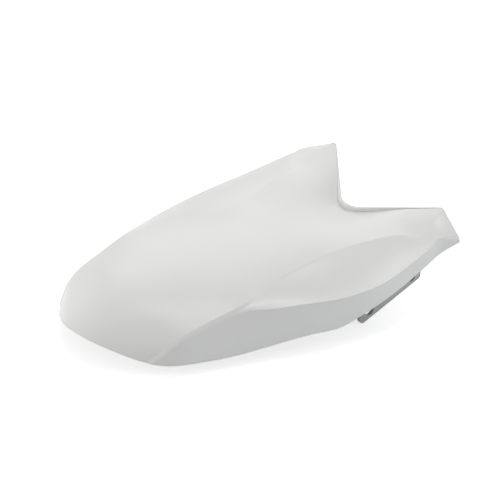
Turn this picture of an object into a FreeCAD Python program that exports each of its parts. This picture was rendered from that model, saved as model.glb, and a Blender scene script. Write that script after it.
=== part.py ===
import FreeCAD, Part
import math
import os

import Sketcher

# Front mudguard of a small motorbike: one moulded skin with a pointed nose, faceted flanks and
# a forked tail, held by a pair of bent steel fork plates screwed to bosses under its shoulders.
# X runs across the part with the left side positive, Y runs to the rear, Z is up.
# The fork plates' lower corners are at Z = 0, and the nose and the tail are as far from Y = 0.
Vector = FreeCAD.Vector
doc = FreeCAD.newDocument("front_mudguard")
sheet = doc.addObject("Spreadsheet::Sheet", "sizes")

# Table of offsets of the outer skin, one row a station from under the nose to behind the tail.
# All its widths are spread alike, so that the foot at the hip keeps side_clearance from the plates.
# place: Y of the crease, bow: how far the middle runs ahead of it, crown: height in the middle,
# inner and outer: heights at a third and two thirds of the way to the top's edge,
# edge, crease and belt: the three lines along the shoulder, foot: half width far below the hem.
COLUMNS = ("place", "bow", "crown", "inner", "outer", "edge_width", "edge_height",
           "crease_width", "crease_height", "belt_width", "belt_height", "foot_width")
STATIONS = {
    "root": (-167.5, 39.0, -12.0, -12.0, -12.0, 43.0, -12.0, 45.5, -12.0, 48.0, -12.0, 50.5),
    "heel": (-152.5, 38.0, 10.0, 10.5, 8.0, 52.6, 3.6, 54.8, 2.2, 56.8, 0.2, 58.5),
    "lip": (-138.5, 38.5, 24.7, 24.6, 15.8, 60.6, 16.7, 62.4, 15.0, 63.7, 12.8, 64.8),
    "chin": (-128.5, 34.0, 33.5, 30.8, 24.6, 66.2, 26.3, 68.2, 24.6, 69.7, 22.3, 71.0),
    "nose": (-116.0, 28.0, 41.7, 39.3, 35.0, 69.7, 33.9, 71.8, 32.2, 73.4, 29.9, 76.5),
    "brow": (-99.1, 22.0, 48.6, 47.6, 44.4, 72.0, 39.8, 74.2, 38.0, 76.0, 35.6, 81.0),
    "front": (-79.2, 15.0, 54.0, 53.2, 50.0, 74.2, 45.3, 76.4, 43.5, 78.3, 41.1, 85.5),
    "breast": (-59.0, 9.0, 58.0, 57.2, 54.6, 76.2, 50.2, 78.2, 48.6, 81.0, 46.8, 90.0),
    "middle": (-34.1, 5.0, 60.5, 59.9, 57.8, 73.2, 53.2, 75.0, 52.4, 88.6, 46.4, 93.5),
    "loin": (-4.5, 3.0, 62.0, 61.5, 60.0, 64.4, 55.9, 66.2, 55.4, 96.5, 46.2, 97.5),
    "waist": (23.5, 1.0, 62.0, 61.5, 60.2, 58.8, 56.6, 60.6, 56.1, 103.5, 45.2, 98.5),
    "belly": (50.1, 0.0, 61.5, 61.2, 60.5, 56.0, 57.8, 57.8, 57.4, 107.6, 45.8, 98.0),
    "flank": (69.5, 0.0, 61.0, 61.3, 61.7, 57.9, 60.6, 59.7, 60.2, 108.6, 47.2, 97.5),
    "hip": (88.9, 0.0, 60.2, 62.0, 63.5, 61.9, 63.7, 63.7, 63.2, 107.4, 49.8, 97.0),
    "haunch": (106.9, 0.0, 58.8, 62.5, 65.5, 67.2, 65.8, 69.0, 65.3, 105.0, 53.5, 97.5),
    "rump": (124.5, 0.0, 57.0, 63.5, 68.0, 72.6, 66.7, 74.6, 66.1, 102.0, 57.7, 98.0),
    "saddle": (139.5, 0.0, 55.5, 65.2, 70.4, 79.0, 67.0, 86.5, 66.0, 99.4, 61.6, 98.5),
    "spur": (152.5, 0.0, 54.5, 66.8, 73.0, 77.9, 70.9, 95.1, 66.3, 97.4, 64.4, 99.0),
    "wing": (165.5, 0.0, 54.0, 68.0, 75.2, 75.2, 74.9, 98.0, 65.1, 99.4, 62.8, 100.0),
    "tail": (189.5, 0.0, 53.5, 70.0, 79.5, 72.3, 82.0, 101.5, 62.0, 102.8, 59.6, 101.0),
}

# The hem as seen from the side, from ahead of the nose to behind the tail: Y and Z.
HEM = {
    "hem_lead": (-215.0, 41.0),
    "hem_tip": (-176.5, 24.6),
    "hem_cheek": (-157.5, 16.6),
    "hem_corner": (-143.5, 12.2),
    "hem_jaw": (-130.5, 10.7),
    "hem_throat": (-105.5, 10.0),
    "hem_chest": (-80.5, 9.5),
    "hem_rib": (-50.5, 11.1),
    "hem_belly": (-20.5, 14.1),
    "hem_loin": (14.5, 15.6),
    "hem_bend": (41.5, 15.8),
    "hem_rise": (52.5, 19.2),
    "hem_thigh": (94.5, 32.5),
    "hem_knee": (130.5, 44.8),
    "hem_heel": (172.5, 59.2),
    "hem_trail": (200.5, 68.5),
}

# Stations that shape the outer skin only.
OUTER_ONLY = ("chin", "brow", "breast", "loin", "belly", "hip")

# Other driving dimensions, in millimetres and degrees.
SIZES = {
    "wall": 2.6,
    "floor": -12.0,
    "overrun": 3.0,
    "leaf_swell": 0.03,
    "side_swell": 0.03,
    "tail_cut": 176.5,
    "tail_sweep": 8.0,
    "notch_root": 129.5,
    "notch_radius": 21.5,
    "notch_half_angle": 53.3,
    "rim_thickness": 2.6,
    "rim_root_height": 63.3,
    "rim_slope": 17.6,
    "hole_diameter": 11.0,
    "hole_spacing": 50.0,
    "hole_front_place": 84.5,
    "hole_front_height": 11.33,
    "hole_line_pitch": 23.5,
    "plate_spacing": 176.0,
    "side_clearance": 9.0,
    "plate_thickness": 3.4,
    "plate_front_margin": 14.6,
    "plate_rear_margin": 8.8,
    "plate_lower_margin": 8.3,
    "plate_corner_radius": 4.0,
    "flange_height": 47.0,
    "flange_width": 27.0,
    "bend_radius": 4.0,
    "boss_diameter": 13.0,
    "boss_inset": 15.0,
    "boss_front_place": 93.5,
    "boss_spacing": 36.0,
    "screw_diameter": 5.0,
    "screw_clearance": 0.5,
    "screw_grip": 8.0,
    "head_diameter": 9.0,
    "head_height": 3.4,
    "head_flange_diameter": 12.0,
    "head_flange_thickness": 1.2,
}


def fill_sheet():
    rows = list(SIZES.items())
    for name, (place, height) in HEM.items():
        rows += [(name + "_place", place), (name + "_height", height)]
    for station, values in STATIONS.items():
        rows += [("%s_%s" % (station, column), value) for column, value in zip(COLUMNS, values)]
    for row, (alias, value) in enumerate(rows, 1):
        sheet.set("A%d" % row, alias)
        sheet.set("B%d" % row, str(value))
        sheet.setAlias("B%d" % row, alias)
    doc.recompute()


def size(name):
    return float(sheet.get(name))


def station_sizes(station):
    return {column: size("%s_%s" % (station, column)) for column in COLUMNS}


# The lines that carry the skin. Each has one point a station: three across half of the top,
# then the top's edge, the crease, the belt and the foot, on the left side of the part.
LINES = ("crown", "inner", "outer", "edge", "crease", "belt", "foot")


def station_points(station):
    s = station_sizes(station)
    spread = (size("plate_spacing") / 2.0 + size("side_clearance")) / size("hip_foot_width")

    def at(width, ahead, height):
        return Vector(width * spread, s["place"] - ahead, height)

    def on_top(share, height):
        return at(s["edge_width"] * share, s["bow"] * (1.0 - share ** 2), height)

    return {
        "crown": on_top(0.0, s["crown"]),
        "inner": on_top(1.0 / 3.0, s["inner"]),
        "outer": on_top(2.0 / 3.0, s["outer"]),
        "edge": at(s["edge_width"], 0.0, s["edge_height"]),
        "crease": at(s["crease_width"], 0.0, s["crease_height"]),
        "belt": at(s["belt_width"], 0.0, s["belt_height"]),
        "foot": at(s["foot_width"], 0.0, size("floor")),
    }


def outer_lines():
    stations = [station_points(station) for station in STATIONS]
    return {line: [points[line] for points in stations] for line in LINES}


def parameters_along(points):
    """Where each station lies along the skin, by the length of the crease."""
    along = [0.0]
    for start, end in zip(points[:-1], points[1:]):
        along.append(along[-1] + (end - start).Length)
    return [value / along[-1] for value in along]


def mirrored(point):
    return Vector(-point.x, point.y, point.z)


def swollen(start, end, swell):
    """The middle pole of a strip that bulges outwards by a share of its width, flat at the floor."""
    rows = []
    for index, (a, b) in enumerate(zip(start, end)):
        across = b - a
        bulge = Vector(-across.z, 0, across.x) * (2.0 * swell if index else 0.0)
        rows.append((a + b) * 0.5 + bulge)
    return rows


def patch(columns, along, degree):
    """A face through the stations, with the columns as its poles across."""
    curves = []
    for column in columns:
        curve = Part.BSplineCurve()
        curve.interpolate(Points=column, Parameters=along)
        curves.append(curve)
    poles = [list(row) for row in zip(*[curve.getPoles() for curve in curves])]
    spans = len(columns) - degree
    knots = [index / spans for index in range(spans + 1)]
    mults = [degree + 1] + [1] * (spans - 1) + [degree + 1]
    first = curves[0]
    surface = Part.BSplineSurface()
    surface.buildFromPolesMultsKnots(poles, first.getMultiplicities(), mults, first.getKnots(), knots,
                                     False, False, first.Degree, degree)
    return surface


def skin_patches(lines, along, leaf_swell, side_swell):
    """The top, and on each side the edge strip, the leaf and the side down to the foot."""
    top = [[mirrored(p) for p in lines[name]] for name in ("edge", "outer", "inner")]
    top += [lines[name] for name in ("crown", "inner", "outer", "edge")]
    strips = [
        ([lines["edge"], lines["crease"]], 1),
        ([lines["crease"], swollen(lines["crease"], lines["belt"], leaf_swell), lines["belt"]], 2),
        ([lines["belt"], swollen(lines["belt"], lines["foot"], side_swell), lines["foot"]], 2),
    ]
    patches = [patch(top, along, 3)]
    for columns, degree in strips:
        patches.append(patch(columns, along, degree))
        patches.append(patch([[mirrored(p) for p in column] for column in columns], along, degree))
    return patches


def closed_body(patches):
    """Closes the skin's patches with a flat floor and a flat tail face."""
    low, rear = [], []
    for index, surface in enumerate(patches):
        u0, u1, v0, v1 = surface.bounds()
        low.append(surface.uIso(u0).toShape())
        rear.append(surface.uIso(u1).toShape())
        if index >= len(patches) - 2:
            low.append(surface.vIso(v1).toShape())
    ends = [patches[-1].value(patches[-1].bounds()[1], patches[-1].bounds()[3]),
            patches[-2].value(patches[-2].bounds()[1], patches[-2].bounds()[3])]
    closing = Part.makeLine(ends[0], ends[1])
    floor_face = Part.Face(Part.Wire(Part.__sortEdges__(low + [closing])))
    tail_face = Part.Face(Part.Wire(Part.__sortEdges__(rear + [closing])))
    shell = Part.Shell([surface.toShape() for surface in patches] + [floor_face, tail_face])
    shell.sewShape()
    solid = Part.makeSolid(shell)
    if solid.Volume < 0:
        solid.reverse()
    return solid


def outward(surface, u, v):
    normal = surface.normal(u, v)
    point = surface.value(u, v)
    core = Vector(0, point.y + 30.0, -30.0)
    return normal if normal.dot(point - core) > 0 else normal * -1.0


def mitre(first, second):
    """The step that takes a line between two faces one unit under both of them."""
    return (first + second) * (1.0 / (1.0 + first.dot(second)))


# The lines of a skin that lies deeper, moved along the normals of the faces beside them.
def deeper_lines(lines, patches, along, depth):
    top, strip, leaf, side = patches[0], patches[1], patches[3], patches[5]
    across = {"crown": 0.5, "inner": 0.75, "outer": 11.0 / 12.0}
    drop = depth / size("wall") * size("overrun")
    moved = {name: [] for name in LINES}
    for index, u in enumerate(along):
        steps = {name: outward(top, u, v) for name, v in across.items()}
        steps["edge"] = mitre(outward(top, u, 1.0), outward(strip, u, 0.5))
        steps["crease"] = mitre(outward(strip, u, 0.5), outward(leaf, u, 0.0))
        steps["belt"] = mitre(outward(leaf, u, 1.0), outward(side, u, 0.0))
        steps["foot"] = outward(side, u, 1.0)
        for name in LINES:
            point = lines[name][index] - steps[name] * depth
            if name == "crown":
                point.x = 0.0
            if index == 0 or name == "foot":
                point.z = size("floor") - drop
            if index == len(along) - 1:
                point.y = lines[name][index].y + drop
            moved[name].append(point)
    return moved


def add_feature(name, shape):
    feature = doc.addObject("Part::Feature", name)
    feature.Shape = shape
    return feature


def join(kind, name, base, tool):
    feature = doc.addObject(kind, name)
    feature.Base = base
    feature.Tool = tool
    return feature


fill_sheet()
lines = outer_lines()
along = parameters_along(lines["crease"])
leaf_swell = size("leaf_swell")
side_swell = size("side_swell")
wall = size("wall")
outer_patches = skin_patches(lines, along, leaf_swell, side_swell)


def body_at(depth):
    """The body whose skin lies deeper, carried by the stations that matter inside."""
    deeper = deeper_lines(lines, outer_patches, along, depth)
    kept = [index for index, station in enumerate(STATIONS) if station not in OUTER_ONLY]
    plain = {line: [points[index] for index in kept] for line, points in deeper.items()}
    return closed_body(skin_patches(plain, [along[index] for index in kept], leaf_swell, side_swell))


outer_body = add_feature("outer_body", closed_body(outer_patches))
inner_body = add_feature("inner_body", body_at(wall))
middle_body = add_feature("middle_body", body_at(wall / 2.0))
skin = join("Part::Cut", "skin", outer_body, inner_body)

# Everything lower than the hem, as one block across the part.
REACH = 150.0
DEPTH = -60.0


def below_the_hem():
    points = [Vector(-REACH, size(name + "_place"), size(name + "_height")) for name in HEM]
    hem = Part.BSplineCurve()
    hem.interpolate(Points=points)
    front = Vector(-REACH, points[0].y, DEPTH)
    rear = Vector(-REACH, points[-1].y, DEPTH)
    edges = [hem.toShape(), Part.makeLine(points[-1], rear), Part.makeLine(rear, front),
             Part.makeLine(front, points[0])]
    return Part.Face(Part.Wire(edges)).extrude(Vector(2.0 * REACH, 0, 0))


hem_block = add_feature("below_the_hem", below_the_hem())
hemmed = join("Part::Cut", "hemmed_skin", skin, hem_block)


# The notch between the tail's two wings: a V with a round root, cut straight down,
# and the tail's edge, swept forward from the wings' tips. A growth moves the V into the wings.
def notch_outline(growth):
    radius = size("notch_radius") + growth
    centre = size("notch_root") + size("notch_radius")
    angle = math.radians(size("notch_half_angle"))
    tail = size("tail_cut")
    tangent = Vector(radius * math.cos(angle), centre - radius * math.sin(angle), 0)
    tip = Vector(tangent.x + (tail - tangent.y) * math.tan(angle), tail, 0)
    return tangent, tip, Vector(0, centre - radius, 0)


def notch_face():
    tangent, tip, root = notch_outline(0.0)
    tail = size("tail_cut")
    swept = tail - (REACH - tip.x) * math.tan(math.radians(size("tail_sweep")))
    corners = [tangent, tip, Vector(REACH, swept, 0), Vector(REACH, tail + REACH, 0)]
    outline = corners + [mirrored(p) for p in reversed(corners)]
    edges = [Part.LineSegment(a, b).toShape() for a, b in zip(outline[:-1], outline[1:])]
    edges.append(Part.Arc(outline[-1], root, tangent).toShape())
    return Part.Face(Part.Wire(edges))


def upright_block(face, low, high):
    moved = face.copy()
    moved.translate(Vector(0, 0, low))
    return moved.extrude(Vector(0, 0, high - low))


notch = add_feature("notch_cutter", upright_block(notch_face(), DEPTH, REACH))
trimmed = join("Part::Cut", "trimmed_skin", hemmed, notch)


# A turned-up rim along the notch: tall and thick at the root, running out at the wings' tips.
def rim_face():
    tangent, tip, root = notch_outline(0.0)
    deep_tangent, deep_tip, deep_root = notch_outline(size("rim_thickness"))
    edges = [Part.Arc(mirrored(tangent), root, tangent).toShape(),
             Part.LineSegment(tangent, tip).toShape(),
             Part.LineSegment(tip, deep_tangent).toShape(),
             Part.Arc(deep_tangent, deep_root, mirrored(deep_tangent)).toShape(),
             Part.LineSegment(mirrored(deep_tangent), mirrored(tip)).toShape(),
             Part.LineSegment(mirrored(tip), mirrored(tangent)).toShape()]
    return Part.Face(Part.Wire(edges))


def under_the_rim_line():
    """A block whose top climbs to the rear along the rim's upper edge."""
    root = size("notch_root")
    run = size("tail_cut") + size("overrun") - root
    climb = math.tan(math.radians(size("rim_slope")))
    lead = size("rim_thickness") * 4.0
    low = Vector(-REACH, root - lead, size("rim_root_height") - lead * climb)
    high = Vector(-REACH, root + run, size("rim_root_height") + run * climb)
    corners = [low, high, Vector(-REACH, high.y, 0), Vector(-REACH, low.y, 0), low]
    return Part.Face(Part.makePolygon(corners)).extrude(Vector(2.0 * REACH, 0, 0))


rim_block = add_feature("rim_block", upright_block(rim_face(), 0.0, REACH))
rim_line = add_feature("under_the_rim_line", under_the_rim_line())
rim_full = join("Part::Common", "rim_to_height", rim_block, rim_line)
rim = join("Part::Cut", "notch_rim", rim_full, inner_body)
rimmed = join("Part::Fuse", "rimmed_skin", trimmed, rim)


# Screw places, one pair a side, on the fork plates' flanges.
SIDES = {"left": 1, "right": -1}
SPOTS = ("front", "rear")


def spot_x(sign):
    return "%d * (sizes.plate_spacing / 2 - sizes.boss_inset)" % sign


def spot_y(spot):
    return "sizes.boss_front_place" + (" + sizes.boss_spacing" if spot == "rear" else "")


def upright_cylinder(name, diameter, bottom, height, sign, spot):
    post = doc.addObject("Part::Cylinder", name)
    post.setExpression("Radius", "(%s) / 2" % diameter)
    post.setExpression("Height", height)
    post.setExpression("Placement.Base.x", spot_x(sign))
    post.setExpression("Placement.Base.y", spot_y(spot))
    post.setExpression("Placement.Base.z", bottom)
    return post


def every_spot():
    for side, sign in SIDES.items():
        for spot in SPOTS:
            yield side, sign, spot


# Moulded bosses hang from the skin down to the flanges. They end inside the wall.
posts = doc.addObject("Part::MultiFuse", "boss_posts")
posts.Shapes = [
    upright_cylinder("boss_%s_%s" % (spot, side), "sizes.boss_diameter", "sizes.flange_height",
                     "sizes.tail_edge_height", sign, spot)
    for side, sign, spot in every_spot()
]
bosses = join("Part::Common", "bosses", posts, middle_body)
bossed = join("Part::Fuse", "bossed_skin", rimmed, bosses)
bores = doc.addObject("Part::MultiFuse", "boss_bores")
bores.Shapes = [
    upright_cylinder("bore_%s_%s" % (spot, side), "sizes.screw_diameter", "sizes.flange_height",
                     "sizes.screw_grip", sign, spot)
    for side, sign, spot in every_spot()
]
mudguard = doc.addObject("Part::Cut", "mudguard_shell")
mudguard.Label = "mudguard_shell"
mudguard.Base = bossed
mudguard.Tool = bores


# Sketch helpers: every vertex is held by two dimensions that follow the sheet.
def origin_plane(body, role):
    return next(f for f in body.Origin.OriginFeatures if f.Role == role)


def new_sketch(body, name, role, offset=None):
    sketch = body.newObject("Sketcher::SketchObject", name)
    sketch.AttachmentSupport = (origin_plane(body, role), [""])
    sketch.MapMode = "FlatFace"
    if offset:
        sketch.setExpression("AttachmentOffset.Base.z", offset)
    return sketch


def value_of(expression):
    probe = doc.getObject("probe") or doc.addObject("App::FeaturePython", "probe")
    return probe.evalExpression(expression)


def hold_point(sketch, geometry, end, x_expression, y_expression):
    for kind, expression in (("DistanceX", x_expression), ("DistanceY", y_expression)):
        value = float(value_of(expression))
        index = sketch.addConstraint(Sketcher.Constraint(kind, -1, 1, geometry, end, value))
        sketch.setExpression("Constraints[%d]" % index, expression)


def polygon(sketch, points):
    spots = [Vector(float(value_of(x)), float(value_of(y)), 0) for x, y in points]
    count = len(spots)
    for i in range(count):
        sketch.addGeometry(Part.LineSegment(spots[i], spots[(i + 1) % count]), False)
    for i in range(count):
        sketch.addConstraint(Sketcher.Constraint("Coincident", i, 2, (i + 1) % count, 1))
    for i, (x, y) in enumerate(points):
        hold_point(sketch, i, 1, x, y)


def circle(sketch, x, y, diameter):
    centre = Vector(float(value_of(x)), float(value_of(y)), 0)
    radius = float(value_of(diameter)) / 2.0
    index = sketch.addGeometry(Part.Circle(centre, Vector(0, 0, 1), radius), False)
    hold_point(sketch, index, 3, x, y)
    held = sketch.addConstraint(Sketcher.Constraint("Diameter", index, radius * 2.0))
    sketch.setExpression("Constraints[%d]" % held, diameter)


def pad(body, name, sketch, length, reverse=False):
    feature = body.newObject("PartDesign::Pad", name)
    feature.Profile = sketch
    feature.setExpression("Length", length)
    feature.Reversed = reverse
    body.Tip = feature
    doc.recompute()
    return feature


def pocket_both_ways(body, name, sketch):
    feature = body.newObject("PartDesign::Pocket", name)
    feature.Profile = sketch
    feature.Type = 1
    feature.Midplane = True
    body.Tip = feature
    doc.recompute()
    return feature


def round_edges(body, name, base, radius, wanted):
    picked = ["Edge%d" % (i + 1) for i, edge in enumerate(base.Shape.Edges) if wanted(edge)]
    feature = body.newObject("PartDesign::Fillet", name)
    feature.Base = (base, picked)
    feature.setExpression("Radius", radius)
    body.Tip = feature
    doc.recompute()
    return feature


# A fork plate: a vertical blade with two bolt holes, and a flange bent inwards along its top.
PITCH_COS = "cos(sizes.hole_line_pitch * 1deg)"
PITCH_SIN = "sin(sizes.hole_line_pitch * 1deg)"


def along_holes(run, drop):
    """Y and Z of a point at a run along the hole line and a drop square to it, from the front hole."""
    place = "sizes.hole_front_place + (%s) * %s + (%s) * %s" % (run, PITCH_COS, drop, PITCH_SIN)
    height = "sizes.hole_front_height + (%s) * %s - (%s) * %s" % (run, PITCH_SIN, drop, PITCH_COS)
    return place, height


def fork_plate(side, sign):
    body = doc.addObject("PartDesign::Body", "fork_plate_%s" % side)
    body.Label = "fork_plate_%s" % side
    inner_face = "sizes.plate_spacing / 2 - sizes.plate_thickness"
    start = inner_face if sign > 0 else "-(sizes.plate_spacing / 2)"
    front_low = along_holes("-sizes.plate_front_margin", "sizes.plate_lower_margin")
    rear_low = along_holes("sizes.hole_spacing + sizes.plate_rear_margin", "sizes.plate_lower_margin")
    top = "sizes.flange_height"
    under = "sizes.flange_height - sizes.plate_thickness"
    blade_sketch = new_sketch(body, "blade_outline_%s" % side, "YZ_Plane", start)
    polygon(blade_sketch, [front_low, rear_low, (rear_low[0], top), (front_low[0], top)])
    pad(body, "blade_%s" % side, blade_sketch, "sizes.plate_thickness")
    flange_start = "sizes.plate_spacing / 2 - sizes.flange_width" if sign > 0 else start
    flange_sketch = new_sketch(body, "flange_outline_%s" % side, "YZ_Plane", flange_start)
    polygon(flange_sketch, [(front_low[0], under), (rear_low[0], under), (rear_low[0], top),
                            (front_low[0], top)])
    flange = pad(body, "flange_%s" % side, flange_sketch, "sizes.flange_width")
    outer_x = size("plate_spacing") / 2.0
    thickness = size("plate_thickness")
    top_z = size("flange_height")

    def runs_along(edge, x, z):
        centre = edge.CenterOfMass
        straight = abs(edge.Vertexes[0].Point.y - edge.Vertexes[-1].Point.y) > 20.0
        return straight and abs(abs(centre.x) - x) < 0.01 and abs(centre.z - z) < 0.01

    bend = round_edges(body, "outer_bend_%s" % side, flange, "sizes.bend_radius + sizes.plate_thickness",
                       lambda e: runs_along(e, outer_x, top_z))
    bend = round_edges(body, "inner_bend_%s" % side, bend, "sizes.bend_radius",
                       lambda e: runs_along(e, outer_x - thickness, top_z - thickness))
    low_z = float(value_of(front_low[1]))
    high_z = float(value_of(rear_low[1]))

    def low_corner(edge):
        centre = edge.CenterOfMass
        across = abs(edge.Vertexes[0].Point.x - edge.Vertexes[-1].Point.x) > thickness * 0.9
        return across and min(abs(centre.z - low_z), abs(centre.z - high_z)) < 0.05

    round_edges(body, "corners_%s" % side, bend, "sizes.plate_corner_radius", low_corner)
    holes = new_sketch(body, "fork_holes_%s" % side, "YZ_Plane")
    for run in ("0", "sizes.hole_spacing"):
        place, height = along_holes(run, "0")
        circle(holes, place, height, "sizes.hole_diameter")
    pocket_both_ways(body, "fork_hole_cut_%s" % side, holes)
    screw_holes = new_sketch(body, "screw_holes_%s" % side, "XY_Plane")
    for spot in SPOTS:
        circle(screw_holes, spot_x(sign), spot_y(spot), "sizes.screw_diameter + sizes.screw_clearance")
    pocket_both_ways(body, "screw_hole_cut_%s" % side, screw_holes)
    return body


# A screw with a flanged head, driven up through the flange into a boss.
def screw(side, sign, spot):
    name = "screw_%s_%s" % (spot, side)
    seat = "sizes.flange_height - sizes.plate_thickness"
    under = seat + " - sizes.head_flange_thickness"
    head = upright_cylinder(name + "_head", "sizes.head_diameter", under + " - sizes.head_height",
                            "sizes.head_height", sign, spot)
    rim_disc = upright_cylinder(name + "_flange", "sizes.head_flange_diameter", under,
                                "sizes.head_flange_thickness", sign, spot)
    shank = upright_cylinder(name + "_shank", "sizes.screw_diameter", seat,
                             "sizes.plate_thickness + sizes.screw_grip", sign, spot)
    whole = doc.addObject("Part::MultiFuse", name)
    whole.Label = name
    whole.Shapes = [head, rim_disc, shank]
    return whole


subparts = [mudguard]
for side, sign in SIDES.items():
    subparts.append(fork_plate(side, sign))
for side, sign, spot in every_spot():
    subparts.append(screw(side, sign, spot))
if doc.getObject("probe"):
    doc.removeObject("probe")
doc.recompute()

for item in doc.Objects:
    if "Invalid" in item.State or "Error" in item.State:
        raise RuntimeError("%s failed: %s" % (item.Name, item.State))
for part in subparts:
    if part.Shape.isNull() or not part.Shape.isValid():
        raise RuntimeError("%s has no sound shape" % part.Label)

os.makedirs("parts", exist_ok=True)
for part in subparts:
    part.Shape.exportStep("parts/%s.step" % part.Label)
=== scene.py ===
import math

import bpy
from mathutils import Matrix, Vector


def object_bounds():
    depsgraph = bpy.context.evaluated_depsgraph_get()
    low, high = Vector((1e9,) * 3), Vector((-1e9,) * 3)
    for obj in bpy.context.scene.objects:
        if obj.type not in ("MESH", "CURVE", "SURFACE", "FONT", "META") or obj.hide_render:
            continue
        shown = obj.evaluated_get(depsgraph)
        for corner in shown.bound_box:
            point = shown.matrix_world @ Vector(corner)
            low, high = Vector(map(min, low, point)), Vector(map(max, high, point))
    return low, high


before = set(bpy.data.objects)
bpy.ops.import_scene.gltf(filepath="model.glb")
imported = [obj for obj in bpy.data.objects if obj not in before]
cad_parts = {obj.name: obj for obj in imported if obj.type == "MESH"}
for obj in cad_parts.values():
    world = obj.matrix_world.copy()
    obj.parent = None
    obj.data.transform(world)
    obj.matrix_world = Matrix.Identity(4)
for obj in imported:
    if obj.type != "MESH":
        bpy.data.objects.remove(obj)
cad_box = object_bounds()

# The camera of the photograph: where it stands, how it is turned, and its lens.
# Azimuth 0 looks along +Y, and +X is the left side of the mudguard.
CAMERA_AZIMUTH = math.radians(46.9)
CAMERA_ELEVATION = math.radians(28.0)
CAMERA_ROLL = math.radians(5.5)
CAMERA_PLACE = Vector((3.8705, -3.6029, 2.8668))
CAMERA_LENS = 498.84
SENSOR_WIDTH = 36.0
NEAR_LIMIT = 0.1
FAR_LIMIT = 50.0


def make_camera():
    data = bpy.data.cameras.new("photo_camera")
    data.sensor_width = SENSOR_WIDTH
    data.lens = CAMERA_LENS
    data.clip_start = NEAR_LIMIT
    data.clip_end = FAR_LIMIT
    camera = bpy.data.objects.new("photo_camera", data)
    bpy.context.scene.collection.objects.link(camera)
    level = Vector((math.cos(CAMERA_AZIMUTH), math.sin(CAMERA_AZIMUTH), 0.0))
    back = Vector((math.sin(CAMERA_AZIMUTH) * math.cos(CAMERA_ELEVATION),
                   -math.cos(CAMERA_AZIMUTH) * math.cos(CAMERA_ELEVATION),
                   math.sin(CAMERA_ELEVATION)))
    upright = back.cross(level)
    right = level * math.cos(CAMERA_ROLL) + upright * math.sin(CAMERA_ROLL)
    up = upright * math.cos(CAMERA_ROLL) - level * math.sin(CAMERA_ROLL)
    turn = Matrix((right, up, back)).transposed().to_4x4()
    camera.matrix_world = Matrix.Translation(CAMERA_PLACE) @ turn
    bpy.context.scene.camera = camera


# Small helpers for node materials.
EDGE_SAMPLES = 6


def new_material(name):
    material = bpy.data.materials.new(name)
    material.use_nodes = True
    nodes = material.node_tree.nodes
    nodes.clear()
    output = nodes.new("ShaderNodeOutputMaterial")
    shader = nodes.new("ShaderNodeBsdfPrincipled")
    material.node_tree.links.new(shader.outputs["BSDF"], output.inputs["Surface"])
    return material, shader


def noise(material, scale, detail, roughness=0.5, stretch=(1.0, 1.0, 1.0)):
    """A noise in object coordinates, so its grain has a real size: about 1 / scale metres."""
    nodes, links = material.node_tree.nodes, material.node_tree.links
    place = nodes.new("ShaderNodeTexCoord")
    mapping = nodes.new("ShaderNodeMapping")
    mapping.inputs["Scale"].default_value = stretch
    texture = nodes.new("ShaderNodeTexNoise")
    texture.inputs["Scale"].default_value = scale
    texture.inputs["Detail"].default_value = detail
    texture.inputs["Roughness"].default_value = roughness
    links.new(place.outputs["Object"], mapping.inputs["Vector"])
    links.new(mapping.outputs["Vector"], texture.inputs["Vector"])
    return texture.outputs["Fac"]


def between(material, factor, low, high):
    """Runs a value from low to high as the factor goes from 0 to 1."""
    node = material.node_tree.nodes.new("ShaderNodeMapRange")
    node.inputs["To Min"].default_value = low
    node.inputs["To Max"].default_value = high
    material.node_tree.links.new(factor, node.inputs["Value"])
    return node.outputs["Result"]


def mixed_colour(material, factor, first, second):
    """Blends two colours by the factor."""
    node = material.node_tree.nodes.new("ShaderNodeMix")
    node.data_type = "RGBA"
    material.node_tree.links.new(factor, node.inputs["Factor"])
    node.inputs["A"].default_value = (*first, 1.0)
    node.inputs["B"].default_value = (*second, 1.0)
    return node.outputs["Result"]


def rounded_look(material, radius):
    """Shades sharp edges as if they were rounded to this radius, in metres."""
    node = material.node_tree.nodes.new("ShaderNodeBevel")
    node.samples = EDGE_SAMPLES
    node.inputs["Radius"].default_value = radius
    return node.outputs["Normal"]


def bump(material, shader, normal, heights):
    """Chains bumps on a normal: each row is a height output, its strength and its depth in metres."""
    nodes, links = material.node_tree.nodes, material.node_tree.links
    before = normal
    for height, strength, depth in heights:
        node = nodes.new("ShaderNodeBump")
        node.inputs["Strength"].default_value = strength
        node.inputs["Distance"].default_value = depth
        links.new(height, node.inputs["Height"])
        links.new(before, node.inputs["Normal"])
        before = node.outputs["Normal"]
    links.new(before, shader.inputs["Normal"])


# White moulded plastic: an even satin gloss, a faint flow of the melt and a very fine grain.
SHELL_COLOURS = ((0.755, 0.765, 0.75), (0.785, 0.79, 0.775))
SHELL_ROUGHNESS = (0.27, 0.34)
SHELL_IOR = 1.49
SHELL_EDGE = 0.0012


def shell_material():
    material, shader = new_material("white_moulded_plastic")
    links = material.node_tree.links
    broad = noise(material, scale=9.0, detail=3.0)
    patches = noise(material, scale=40.0, detail=4.0)
    fine = noise(material, scale=900.0, detail=2.0)
    links.new(mixed_colour(material, broad, *SHELL_COLOURS), shader.inputs["Base Color"])
    links.new(between(material, patches, *SHELL_ROUGHNESS), shader.inputs["Roughness"])
    shader.inputs["IOR"].default_value = SHELL_IOR
    bump(material, shader, rounded_look(material, SHELL_EDGE),
         [(broad, 0.05, 0.0003), (fine, 0.08, 0.00003)])
    return material


# Grey painted steel of the fork plates, a little rougher and worn lighter in patches.
PLATE_COLOURS = ((0.30, 0.305, 0.31), (0.40, 0.40, 0.405))
PLATE_ROUGHNESS = (0.38, 0.55)
PLATE_METALLIC = 0.35
PLATE_EDGE = 0.0004


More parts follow.
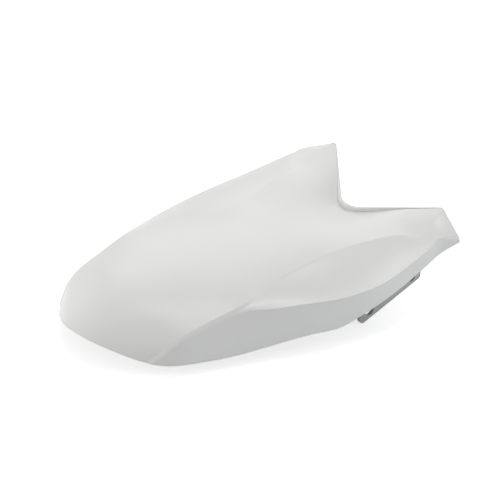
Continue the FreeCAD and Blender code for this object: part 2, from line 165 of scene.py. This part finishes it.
def plate_material():
    material, shader = new_material("grey_painted_steel")
    links = material.node_tree.links
    blotch = noise(material, scale=60.0, detail=5.0, roughness=0.6)
    patches = noise(material, scale=220.0, detail=4.0)
    grain = noise(material, scale=700.0, detail=3.0)
    links.new(mixed_colour(material, blotch, *PLATE_COLOURS), shader.inputs["Base Color"])
    links.new(between(material, patches, *PLATE_ROUGHNESS), shader.inputs["Roughness"])
    shader.inputs["Metallic"].default_value = PLATE_METALLIC
    bump(material, shader, rounded_look(material, PLATE_EDGE), [(grain, 0.25, 0.00008)])
    return material


# Zinc-plated fixings, slightly streaked along the screws.
FIXING_COLOURS = ((0.52, 0.53, 0.55), (0.66, 0.665, 0.68))
FIXING_ROUGHNESS = (0.25, 0.42)
FIXING_METALLIC = 1.0
FIXING_EDGE = 0.0003
ALONG_SCREWS = (1.0, 1.0, 0.15)


def fixing_material():
    material, shader = new_material("zinc_plated_steel")
    links = material.node_tree.links
    streak = noise(material, scale=500.0, detail=3.0, roughness=0.55, stretch=ALONG_SCREWS)
    links.new(mixed_colour(material, streak, *FIXING_COLOURS), shader.inputs["Base Color"])
    links.new(between(material, streak, *FIXING_ROUGHNESS), shader.inputs["Roughness"])
    shader.inputs["Metallic"].default_value = FIXING_METALLIC
    bump(material, shader, rounded_look(material, FIXING_EDGE), [(streak, 0.2, 0.00005)])
    return material


def dress_nodes():
    """Gives each CAD node the material that goes with the first word of its name."""
    looks = {"mudguard": shell_material(), "fork": plate_material(), "screw": fixing_material()}
    for name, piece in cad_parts.items():
        material = looks[name.split("_")[0]]
        piece.data.materials.clear()
        piece.data.materials.append(material)


# A white floor that keeps the shadow, and white beyond it.
FLOOR_SIDE = 6.0
FLOOR_DROP = 0.0002
FLOOR_COLOUR = (0.82, 0.82, 0.82)
FLOOR_GLOW = 0.62
WORLD_LEVEL = 0.47
WHITE = (1.0, 1.0, 1.0)
WARM = (1.0, 0.99, 0.96)
COOL = (0.90, 0.93, 1.0)

# Soft lamps: name, direction from the part, diameter in metres, power in watts, colour.
LAMP_DISTANCE = 2.0
LAMPS = [
    ("top", (-0.20, 0.13, 0.97), 0.9, 5.2, WARM),
    ("front_right", (-0.45, -0.87, 0.21), 0.9, 12.0, WHITE),
    ("rear_left", (0.69, 0.69, 0.21), 0.9, 7.6, COOL),
    ("rear_right", (-0.645, 0.498, 0.57), 1.2, 4.8, WARM),
    ("tail", (0.0, 0.47, 0.88), 0.3, 3.2, WHITE),
]


def seen_rays(nodes, links):
    """1 for the rays that show the background: straight, mirrored or through glass."""
    path = nodes.new("ShaderNodeLightPath")
    total = path.outputs["Is Camera Ray"]
    for kind in ("Is Glossy Ray", "Is Transmission Ray"):
        either = nodes.new("ShaderNodeMath")
        either.operation = "MAXIMUM"
        links.new(total, either.inputs[0])
        links.new(path.outputs[kind], either.inputs[1])
        total = either.outputs["Value"]
    return total


def make_floor():
    """A diffuse floor just below the part, with a glow that only the eye and mirrors see."""
    half = FLOOR_SIDE / 2.0
    mesh = bpy.data.meshes.new("floor")
    corners = [(-half, -half, 0.0), (half, -half, 0.0), (half, half, 0.0), (-half, half, 0.0)]
    mesh.from_pydata(corners, [], [(0, 1, 2, 3)])
    floor = bpy.data.objects.new("floor", mesh)
    floor.location.z = cad_box[0][2] - FLOOR_DROP
    bpy.context.scene.collection.objects.link(floor)
    material = bpy.data.materials.new("pale_floor")
    material.use_nodes = True
    nodes, links = material.node_tree.nodes, material.node_tree.links
    nodes.clear()
    output = nodes.new("ShaderNodeOutputMaterial")
    diffuse = nodes.new("ShaderNodeBsdfDiffuse")
    diffuse.inputs["Color"].default_value = (*FLOOR_COLOUR, 1.0)
    glow = nodes.new("ShaderNodeEmission")
    level = nodes.new("ShaderNodeMath")
    level.operation = "MULTIPLY"
    links.new(seen_rays(nodes, links), level.inputs[0])
    level.inputs[1].default_value = FLOOR_GLOW
    links.new(level.outputs["Value"], glow.inputs["Strength"])
    total = nodes.new("ShaderNodeAddShader")
    links.new(diffuse.outputs["BSDF"], total.inputs[0])
    links.new(glow.outputs["Emission"], total.inputs[1])
    links.new(total.outputs["Shader"], output.inputs["Surface"])
    mesh.materials.append(material)


def make_world():
    """Soft light from all round, seen as plain white."""
    world = bpy.data.worlds.new("studio")
    bpy.context.scene.world = world
    world.use_nodes = True
    nodes, links = world.node_tree.nodes, world.node_tree.links
    nodes.clear()
    output = nodes.new("ShaderNodeOutputWorld")
    soft = nodes.new("ShaderNodeBackground")
    soft.inputs["Color"].default_value = (*WHITE, 1.0)
    soft.inputs["Strength"].default_value = WORLD_LEVEL
    white = nodes.new("ShaderNodeBackground")
    white.inputs["Color"].default_value = (*WHITE, 1.0)
    white.inputs["Strength"].default_value = 1.0
    choose = nodes.new("ShaderNodeMixShader")
    links.new(seen_rays(nodes, links), choose.inputs["Fac"])
    links.new(soft.outputs["Background"], choose.inputs[1])
    links.new(white.outputs["Background"], choose.inputs[2])
    links.new(choose.outputs["Shader"], output.inputs["Surface"])


def soft_lamp(name, direction, diameter, power, colour):
    """A disc of light that faces the part from a direction."""
    data = bpy.data.lights.new(name, "AREA")
    data.shape = "DISK"
    data.size = diameter
    data.energy = power
    data.color = colour
    lamp = bpy.data.objects.new(name, data)
    bpy.context.scene.collection.objects.link(lamp)
    aim = Vector(direction).normalized()
    turn = aim.to_track_quat("Z", "Y").to_matrix().to_4x4()
    lamp.matrix_world = Matrix.Translation(aim * LAMP_DISTANCE) @ turn


make_camera()
dress_nodes()
make_floor()
make_world()
for lamp_row in LAMPS:
    soft_lamp(*lamp_row)
bpy.context.scene.view_settings.view_transform = "Standard"
